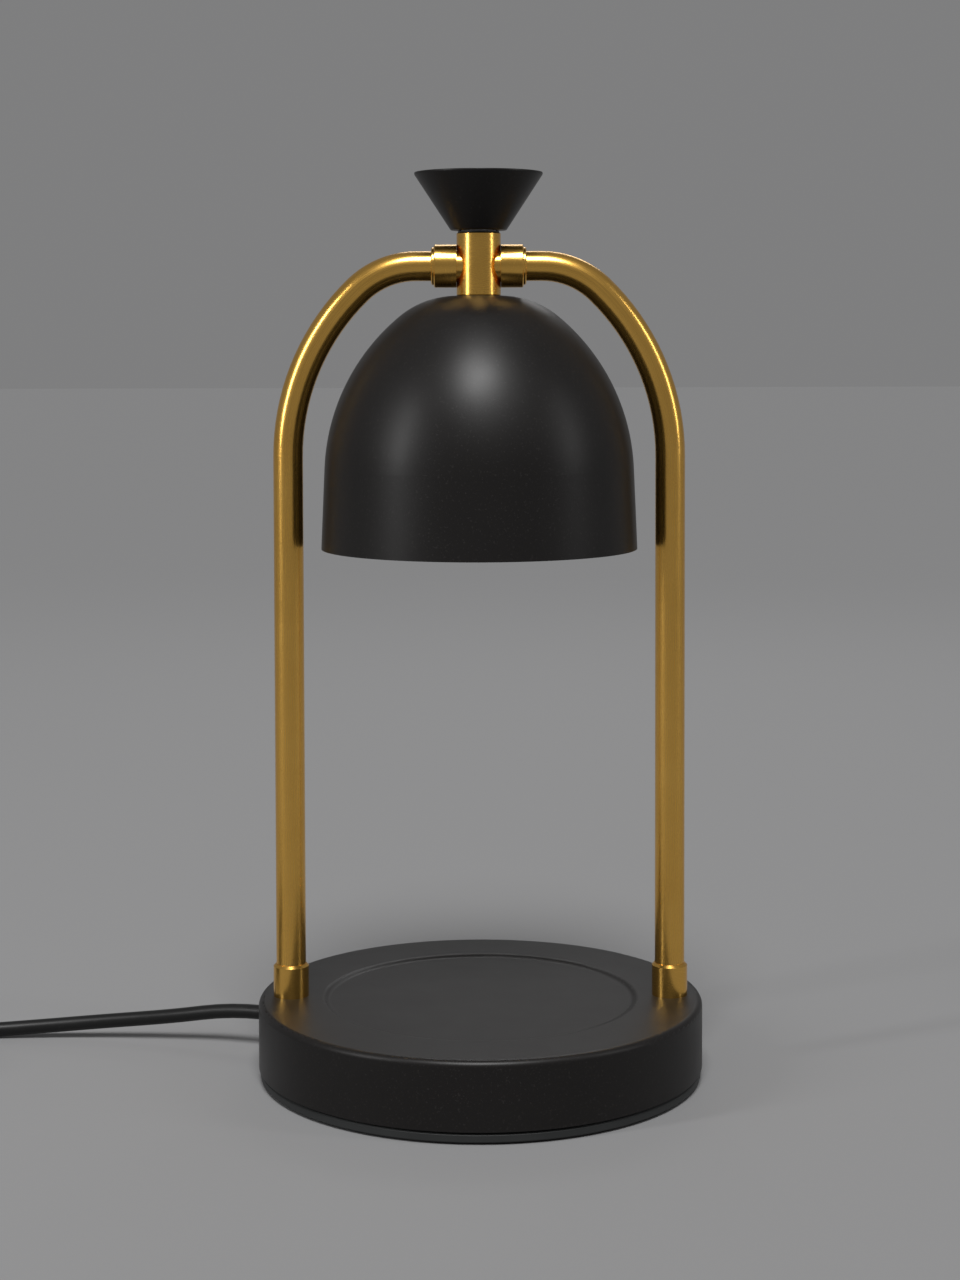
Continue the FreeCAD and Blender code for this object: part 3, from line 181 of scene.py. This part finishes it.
BLACK = rgba(0.0068, 0.0060, 0.0057)
BLACK_SPECK = rgba(0.015, 0.0135, 0.013)
BRASS = rgba(0.86, 0.50, 0.115)
BACKGROUND = rgba(0.21, 0.21, 0.212)
ENAMEL_SPECULAR = 0.24
RUBBER_SPECULAR = 0.3
PAPER_SPECULAR = 0.1
ARCH_SWEEP_RADIUS = 5.0
ARCH_STRETCH = 0.012
RING_SWEEP = 0.0004
WIRE_PITCH = 0.5
FACETS_AROUND = 36.0
FACET_ROW_HEIGHT = 3.0
FLOOR_HALF_WIDTH = 12.0
LIGHT_TARGET = (0.0, 0.0, 0.15)


def grain(m, point, size_mm, depth_mm, strength=1.0, after=None):
    """Fine bump of about that size all over."""
    return m.bump(m.noise(point, 1000.0 / size_mm, 2.0), depth_mm * MM, strength, after)


def satin_coat(m, point, roughness, tone):
    """Satin powder coat: a fine orange-peel grain, and faint patches of other gloss from handling."""
    patches = m.noise(point, 22.0, 3.0, 0.6)
    peel = grain(m, point, 1.6, 0.012, 0.5)
    return m.finish(
        Base_Color=tone,
        Roughness=m.span(patches, 0.3, 0.7, roughness - 0.03, roughness + 0.04),
        Specular_IOR_Level=ENAMEL_SPECULAR,
        Normal=grain(m, point, 0.28, 0.006, 0.6, peel),
    )


def black_tone(m, point):
    specks = m.noise(point, 1400.0, 1.0)
    return m.mix(m.span(specks, 0.62, 0.75), BLACK, BLACK_SPECK)


def black_enamel(name, roughness):
    m = Nodes(name)
    point = m.object_point()
    return satin_coat(m, point, roughness, black_tone(m, point))


def shade_enamel():
    """Black outside and off-white inside, told apart by which way the wall faces."""
    m = Nodes("shade_enamel")
    point = m.object_point()
    geometry = m.add("ShaderNodeNewGeometry")
    away = m.vector_math("SUBTRACT", point, (0.0, 0.0, SHADE_MIDDLE_HEIGHT * MM))
    facing = m.vector_math("DOT_PRODUCT", geometry.outputs["True Normal"], away)
    inside = m.math("LESS_THAN", facing, 0.0)
    patches = m.noise(point, 18.0, 3.0, 0.6)
    inner = m.mix(patches, rgba(0.74, 0.73, 0.70), rgba(0.80, 0.79, 0.76))
    return satin_coat(m, point, 0.40, m.mix(inside, black_tone(m, point), inner))


def brushed(name, colour, along, roughness=0.27, line_mm=0.12, depth_mm=0.0025):
    """Brushed metal. along gives the point with the brushing's direction squeezed."""
    m = Nodes(name)
    point = m.object_point()
    streaks = m.noise(along(m, point), 1.0 / (line_mm * MM), 3.0, 0.7)
    broad = m.noise(along(m, point), 0.2 / (line_mm * MM), 2.0)
    patches = m.noise(point, 45.0, 3.0, 0.6)
    worn = m.span(patches, 0.35, 0.7, 0.0, 1.0)
    dull = rgba(colour[0] * 0.86, colour[1] * 0.82, colour[2] * 0.72)
    tone = m.mix(m.math("MULTIPLY", worn, 0.5), colour, dull)
    tone = m.mix(m.span(streaks, 0.55, 0.8, 0.0, 0.35), tone, dull)
    fine = m.bump(streaks, depth_mm * MM, 0.8)
    return m.finish(
        Base_Color=tone,
        Metallic=1.0,
        Roughness=m.span(streaks, 0.3, 0.7, roughness - 0.07, roughness + 0.07),
        Normal=m.bump(broad, depth_mm * 2 * MM, 0.5, fine),
    )


def turned_about(axis, centre=(0.0, 0.0, 0.0)):
    """Rings round an axis: only the place along it and the radius matter."""

    def along(m, point):
        offset = m.vector_math("SUBTRACT", point, centre)
        x, y, z = m.split(offset)
        parts = {"X": (x, y, z), "Z": (z, x, y)}[axis]
        radius = m.vector_math("LENGTH", m.join(parts[1], parts[2], 0.0))
        sweep = m.math("ARCTAN2", parts[2], parts[1])
        return m.join(parts[0], radius, m.math("MULTIPLY", sweep, RING_SWEEP))

    return along


def along_the_arch(m, point):
    """Lines that follow the bent tubes: the place round the tube matters, not the place along it."""
    turn = math.radians(LOWER_BEND_TURN)
    rise = LOWER_BEND_RADIUS * math.sin(turn) + UPPER_BEND_RADIUS * (1 - math.sin(turn))
    bend_start = AXIS_HEIGHT - rise
    lower_centre = (POST_X - LOWER_BEND_RADIUS, bend_start)
    change_x = POST_X - LOWER_BEND_RADIUS * (1 - math.cos(turn))
    upper_centre = (change_x - UPPER_BEND_RADIUS * math.cos(turn), AXIS_HEIGHT - UPPER_BEND_RADIUS)
    x, y, z = m.split(m.scaled(point, (1000.0, 1000.0, 1000.0)))
    x = m.math("ABSOLUTE", x)

    def from_centre(centre, radius):
        dx = m.math("SUBTRACT", x, centre[0])
        dz = m.math("SUBTRACT", z, centre[1])
        return m.math("SUBTRACT", m.vector_math("LENGTH", m.join(dx, dz, 0.0)), radius)

    straight = m.math("SUBTRACT", x, POST_X)
    lower = from_centre(lower_centre, LOWER_BEND_RADIUS)
    upper = from_centre(upper_centre, UPPER_BEND_RADIUS)
    level = m.math("SUBTRACT", z, AXIS_HEIGHT)
    in_bend = m.math("GREATER_THAN", z, bend_start)
    past_change = m.math("LESS_THAN", x, change_x)
    is_level = m.math("LESS_THAN", x, upper_centre[0])

    def choose(switch, off, on):
        node = m.add("ShaderNodeMix", data_type="FLOAT")
        m.put(node.inputs["Factor"], switch)
        m.put(node.inputs["A"], off)
        m.put(node.inputs["B"], on)
        return node.outputs["Result"]

    offset = choose(in_bend, straight, choose(past_change, lower, choose(is_level, upper, level)))
    round_it = m.math("ARCTAN2", y, offset)
    length = m.math("ADD", z, x)
    return m.join(
        m.math("MULTIPLY", round_it, ARCH_SWEEP_RADIUS * MM),
        m.math("MULTIPLY", length, ARCH_STRETCH * MM),
        0.0,
    )


def plain_plastic(name, colour, roughness, size_mm=0.35, depth_mm=0.01):
    """Moulded plastic with a fine eroded grain."""
    m = Nodes(name)
    point = m.object_point()
    patches = m.noise(point, 60.0, 3.0, 0.6)
    lighter = rgba(colour[0] * 1.35, colour[1] * 1.35, colour[2] * 1.35)
    return m.finish(
        Base_Color=m.mix(m.span(patches, 0.35, 0.75, 0.0, 0.6), colour, lighter),
        Roughness=m.span(patches, 0.3, 0.7, roughness - 0.05, roughness + 0.06),
        Normal=grain(m, point, size_mm, depth_mm, 0.7),
    )


def ceramic():
    """Fired ceramic, off-white with small dark specks."""
    m = Nodes("ceramic")
    point = m.object_point()
    specks = m.noise(point, 1100.0, 2.0)
    tone = m.mix(m.span(specks, 0.68, 0.74), rgba(0.78, 0.76, 0.70), rgba(0.45, 0.42, 0.36))
    return m.finish(Base_Color=tone, Roughness=0.46, Normal=grain(m, point, 0.5, 0.012, 0.6))


def circuit_laminate():
    """Green laminate with paler copper tracks under its varnish."""
    m = Nodes("circuit_laminate")
    point = m.object_point()
    cells = m.add("ShaderNodeTexVoronoi", feature="DISTANCE_TO_EDGE", distance="MANHATTAN")
    m.put(cells.inputs["Vector"], point)
    m.put(cells.inputs["Scale"], 240.0)
    track = m.math("LESS_THAN", cells.outputs["Distance"], 0.12)
    tone = m.mix(track, rgba(0.012, 0.09, 0.03), rgba(0.04, 0.2, 0.07))
    return m.finish(Base_Color=tone, Roughness=0.35, Normal=m.bump(track, 0.00003, 0.6))


def copper_winding():
    """Enamelled wire wound round an upright axis, with painted shade in the groove between turns and a
    painted highlight on each turn's crown.
    """
    m = Nodes("copper_winding")
    point = m.object_point()
    height = m.split(point)[2]
    turns = m.math("SINE", m.math("MULTIPLY", height, 2 * math.pi / (WIRE_PITCH * MM)))
    # Colour bands per turn: darker between turns is painted shade, lighter crowns are a painted highlight;
    # the bump gives the real ridges.
    tone = m.mix(m.span(turns, -1.0, 1.0), rgba(0.28, 0.07, 0.02), rgba(0.62, 0.22, 0.08))
    return m.finish(Base_Color=tone, Metallic=0.9, Roughness=0.32, Normal=m.bump(turns, 0.0001, 0.8))


def clear_glass():
    m = Nodes("clear_glass")
    point = m.object_point()
    waves = m.noise(point, 120.0, 2.0)
    return m.finish(
        Base_Color=rgba(0.97, 0.98, 0.99),
        Roughness=m.span(waves, 0.3, 0.7, 0.01, 0.05),
        Transmission_Weight=1.0,
        IOR=1.47,
        Normal=m.bump(waves, 0.00004, 0.4),
    )


def facetted_mirror():
    """The reflector: rows of small facets that get wider towards its rim, with alternate facets painted
    lighter and bluer-darker as a painted reflection.
    """
    m = Nodes("facetted_mirror")
    point = m.object_point()
    x, y, z = m.split(point)
    sweep = m.math("ARCTAN2", y, x)
    across = m.math("SINE", m.math("MULTIPLY", sweep, FACETS_AROUND))
    rows = m.math("SINE", m.math("MULTIPLY", z, 2 * math.pi / (FACET_ROW_HEIGHT * MM)))
    facets = m.math("MULTIPLY", across, rows)
    # Alternate facets painted lighter and darker: a painted reflection; the bump gives the real facet tilt.
    tone = m.mix(m.span(facets, -1.0, 1.0), rgba(0.78, 0.80, 0.84), rgba(0.9, 0.9, 0.9))
    return m.finish(Base_Color=tone, Metallic=1.0, Roughness=0.12, Normal=m.bump(facets, 0.0002, 0.7))


def cord_rubber(name, roughness):
    """Semi-gloss flexible plastic with a faint skin and dust."""
    m = Nodes(name)
    point = m.object_point()
    dust = m.noise(point, 900.0, 3.0, 0.7)
    patches = m.noise(point, 50.0, 3.0, 0.6)
    tone = m.mix(m.span(dust, 0.62, 0.72, 0.0, 0.6), rgba(0.006, 0.006, 0.006), rgba(0.02, 0.0195, 0.019))
    return m.finish(
        Base_Color=tone,
        Roughness=m.span(patches, 0.3, 0.7, roughness - 0.05, roughness + 0.08),
        Specular_IOR_Level=RUBBER_SPECULAR,
        Normal=grain(m, point, 0.45, 0.01, 0.5),
    )


def dress(material, *names):
    """Gives CAD nodes a material."""
    for name in names:
        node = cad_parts[name]
        for place in node.material_slots:
            place.material = material


def post_centre(side):
    return (side * POST_X * MM, 0.0, 0.0)


def dress_all():
    """Every CAD node that shows or that a look inside would show gets its finish."""
    dress(black_enamel("base_enamel", 0.40), "base_cover")
    dress(black_enamel("knob_enamel", 0.38), "dimmer_knob")
    dress(shade_enamel(), "shade")
    tube = brushed("brass_tube", BRASS, along_the_arch, 0.25, 0.14)
    dress(tube, "left_arch_tube", "right_arch_tube")
    hub = brushed("brass_hub", BRASS, turned_about("Z"), 0.24, 0.07)
    dress(hub, "centre_hub")
    collar_centre = (0.0, 0.0, AXIS_HEIGHT * MM)
    collar = brushed("brass_collar", BRASS, turned_about("X", collar_centre), 0.22, 0.08)
    dress(collar, "left_hub_collar", "right_hub_collar")
    for side, word in ((-1, "left"), (1, "right")):
        ferrule = brushed("brass_ferrule_" + word, BRASS, turned_about("Z", post_centre(side)), 0.22, 0.08)
        dress(ferrule, word + "_post_ferrule")
    steel = brushed("zinc_steel", rgba(0.55, 0.56, 0.58), turned_about("Z"), 0.34, 0.15)
    dress(
        steel,
        "cover_standoffs",
        "bottom_screws",
        "weight_screws",
        "board_screws",
        "cord_clamp_screws",
        "post_studs",
        "post_washers",
        "post_nuts",
        "collar_grub_screws",
        "dimmer_body",
        "dimmer_nut",
        "dimmer_spindle",
        "shade_nipple",
        "shade_washer",
        "shade_nuts",
        "lampholder_bracket",
        "lampholder_screws",
    )
    plate = plain_plastic("plate_plastic", rgba(0.011, 0.012, 0.012), 0.55)
    dress(plate, "bottom_plate", "cord_clamp", "dimmer_washer")
    dress(plain_plastic("pad_foam", rgba(0.02, 0.02, 0.021), 0.85, 0.8, 0.06), "foot_pad")
    dress(plain_plastic("weight_iron", rgba(0.05, 0.05, 0.05), 0.7, 1.2, 0.08), "base_weight")
    dress(plain_plastic("terminal_plastic", rgba(0.6, 0.58, 0.5), 0.5), "mains_terminal")
    dress(plain_plastic("capacitor_film", rgba(0.28, 0.2, 0.02), 0.35), "filter_capacitor")
    dress(plain_plastic("triac_epoxy", rgba(0.02, 0.02, 0.02), 0.5), "dimmer_triac")
    dress(circuit_laminate(), "circuit_board")
    dress(copper_winding(), "filter_choke")
    plated = brushed("plated_brass", rgba(0.72, 0.68, 0.55), turned_about("X"), 0.2, 0.1)
    dress(plated, "plug_blades", "bulb_pins", "dimmer_tags")
    dress(ceramic(), "lampholder", "bulb_base")
    glass = clear_glass()
    dress(glass, "bulb_front_glass", "bulb_capsule")
    dress(facetted_mirror(), "bulb_reflector")
    dress(cord_rubber("plug_rubber", 0.42), "plug_body", "cord_strain_relief", "cord_tail")
    sheath = plain_plastic("cable_sheath", rgba(0.5, 0.05, 0.04), 0.45)
    dress(sheath, "lamp_cable", "dimmer_cable", "mains_leads")


def polar(radius, degrees, height):
    angle = math.radians(degrees)
    return Vector((radius * math.cos(angle), radius * math.sin(angle), height))


def coil_radius(angle):
    """Steadily inwards to the middle of the winding and out again."""
    middle = COIL_START_ANGLE + COIL_TOTAL_TURN / 2
    quarter = COIL_PITCH * COIL_TOTAL_TURN / 360.0 / 4
    return COIL_MIDDLE_RADIUS - quarter + COIL_PITCH * abs(angle - middle) / 360.0


def coil_points():
    """Control points of the coil's turns, set a little outside the line that the spline then follows."""
    middle = COIL_START_ANGLE + COIL_TOTAL_TURN / 2
    count = round(COIL_TOTAL_TURN / 360.0 * COIL_POINTS_PER_TURN)
    step = COIL_TOTAL_TURN / count
    widening = 1 / math.cos(math.radians(step / 2))
    points = []
    for k in range(count + 1):
        angle = COIL_START_ANGLE + step * k
        share = min(max((angle - middle) / COIL_CLIMB_TURN + 0.5, 0.0), 1.0)
        eased = share * share * (3 - 2 * share)
        ends = 1.0 if k in (0, count) else widening
        place = polar(coil_radius(angle) * ends, angle, CORD_DIAMETER / 2 + COIL_PITCH * eased)
        points.append(place + Vector((COIL_CENTRE[0], COIL_CENTRE[1], 0.0)))
    return points


def cord_route():
    """The exit, the listed points, the coil and the straight end that enters the plug."""
    start = polar(EXIT_RADIUS, EXIT_ANGLE, EXIT_HEIGHT)
    first = start + polar(FIRST_RUN, EXIT_ANGLE, 0.0)
    turns = coil_points()
    heading = heading_on_coil(COIL_START_ANGLE, -1.0)
    before_coil = turns[0] - heading * CORD_DIAMETER
    end_heading = heading_on_coil(COIL_START_ANGLE + COIL_TOTAL_TURN, 1.0)
    end = turns[-1] + end_heading * COIL_END_RUN
    points = [start, first] + [Vector(p) for p in CORD_POINTS]
    points += [before_coil - heading * LAST_RUN, before_coil]
    return points + turns + [end - end_heading * COIL_END_RUN / 2, end]


def heading_on_coil(angle, outwards):
    """The way that the cord runs at an angle of the coil, as it winds in or out."""
    per_radian = COIL_PITCH / (2 * math.pi) * outwards
    return (polar(per_radian, angle, 0.0) + polar(coil_radius(angle), angle + 90.0, 0.0)).normalized()


def make_cord():
    """One smooth curve from the strain relief to the plug."""
    curve = bpy.data.curves.new("mains_cord", "CURVE")
    curve.dimensions = "3D"
    curve.bevel_depth = CORD_DIAMETER / 2 * MM
    curve.bevel_resolution = 5
    curve.use_fill_caps = True
    spline = curve.splines.new("NURBS")
    route = cord_route()
    spline.points.add(len(route) - 1)
    for point, place in zip(spline.points, route):
        point.co = (*(place * MM), 1.0)
    spline.order_u = 3
    spline.use_endpoint_u = True
    spline.resolution_u = 4
    cord = bpy.data.objects.new("mains_cord", curve)
    bpy.context.scene.collection.objects.link(cord)
    curve.materials.append(cord_rubber("cord_sheath", 0.36))
    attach(cord, "stand")
    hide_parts("power_cord", "cord_coil")


def make_floor():
    """A plain grey floor that runs out of every view."""
    half = FLOOR_HALF_WIDTH
    mesh = bpy.data.meshes.new("floor")
    corners = [(-half, -half, 0.0), (half, -half, 0.0), (half, half, 0.0), (-half, half, 0.0)]
    mesh.from_pydata(corners, [], [(0, 1, 2, 3)])
    floor = bpy.data.objects.new("floor", mesh)
    bpy.context.scene.collection.objects.link(floor)
    m = Nodes("floor_paper")
    fine = m.noise(m.object_point(), 900.0, 2.0)
    fibres = m.bump(fine, 0.00005, 0.4)
    paper = m.finish(Base_Color=BACKGROUND, Roughness=0.9, Specular_IOR_Level=PAPER_SPECULAR, Normal=fibres)
    mesh.materials.append(paper)


def make_lamp(name, place, target, size, power, colour=(1.0, 1.0, 1.0)):
    """A rectangular soft light that looks at a point."""
    data = bpy.data.lights.new(name, "AREA")
    data.shape = "RECTANGLE"
    data.size = size[0]
    data.size_y = size[1]
    data.energy = power
    data.color = colour
    lamp = bpy.data.objects.new(name, data)
    lamp.location = place
    lamp.rotation_mode = "QUATERNION"
    lamp.rotation_quaternion = (Vector(target) - Vector(place)).to_track_quat("-Z", "Y")
    bpy.context.scene.collection.objects.link(lamp)


def make_sun(name, towards_sun, angle, strength):
    """A broad soft sun, so that the floor is lit evenly."""
    data = bpy.data.lights.new(name, "SUN")
    data.energy = strength
    data.angle = math.radians(angle)
    sun = bpy.data.objects.new(name, data)
    sun.rotation_mode = "QUATERNION"
    sun.rotation_quaternion = Vector(towards_sun).to_track_quat("Z", "Y")
    bpy.context.scene.collection.objects.link(sun)


def make_lights():
    """A soft light above in front, a narrow one on the left, a weak one on the right and a plain sky."""
    make_sun("top_light", (0.0, -0.62, 1.0), 22.0, 3.2)
    make_lamp("left_strip", (-1.0, -0.55, 0.6), LIGHT_TARGET, (0.12, 0.7), 5.0)
    make_lamp("right_strip", (1.1, -0.35, 0.6), LIGHT_TARGET, (0.1, 0.7), 2.0)
    make_lamp("rim_light", (0.15, 1.1, 0.9), LIGHT_TARGET, (0.6, 0.3), 1.5)
    world = bpy.data.worlds.new("studio")
    bpy.context.scene.world = world
    world.use_nodes = True
    sky = world.node_tree.nodes["Background"]
    sky.inputs["Color"].default_value = BACKGROUND
    sky.inputs["Strength"].default_value = 1.0


def make_camera():
    """The photograph's own view."""
    data = bpy.data.cameras.new("camera")
    data.sensor_width = SENSOR_MM
    data.lens = FOCAL_PIXELS / IMAGE_HEIGHT * SENSOR_MM
    data.shift_x = (IMAGE_WIDTH / 2 - PRINCIPAL_PIXEL[0]) / IMAGE_HEIGHT
    data.shift_y = (PRINCIPAL_PIXEL[1] - IMAGE_HEIGHT / 2) / IMAGE_HEIGHT
    data.clip_start = 0.05
    data.clip_end = 60.0
    camera = bpy.data.objects.new("camera", data)
    camera.location = CAMERA_PLACE
    camera.rotation_euler = (
        math.radians(90.0 - CAMERA_PITCH_DOWN),
        math.radians(CAMERA_ROLL),
        0.0,
    )
    bpy.context.scene.collection.objects.link(camera)
    bpy.context.scene.camera = camera


bpy.context.scene.view_settings.view_transform = "Standard"
make_camera()
make_cord()
dress_all()
make_floor()
make_lights()
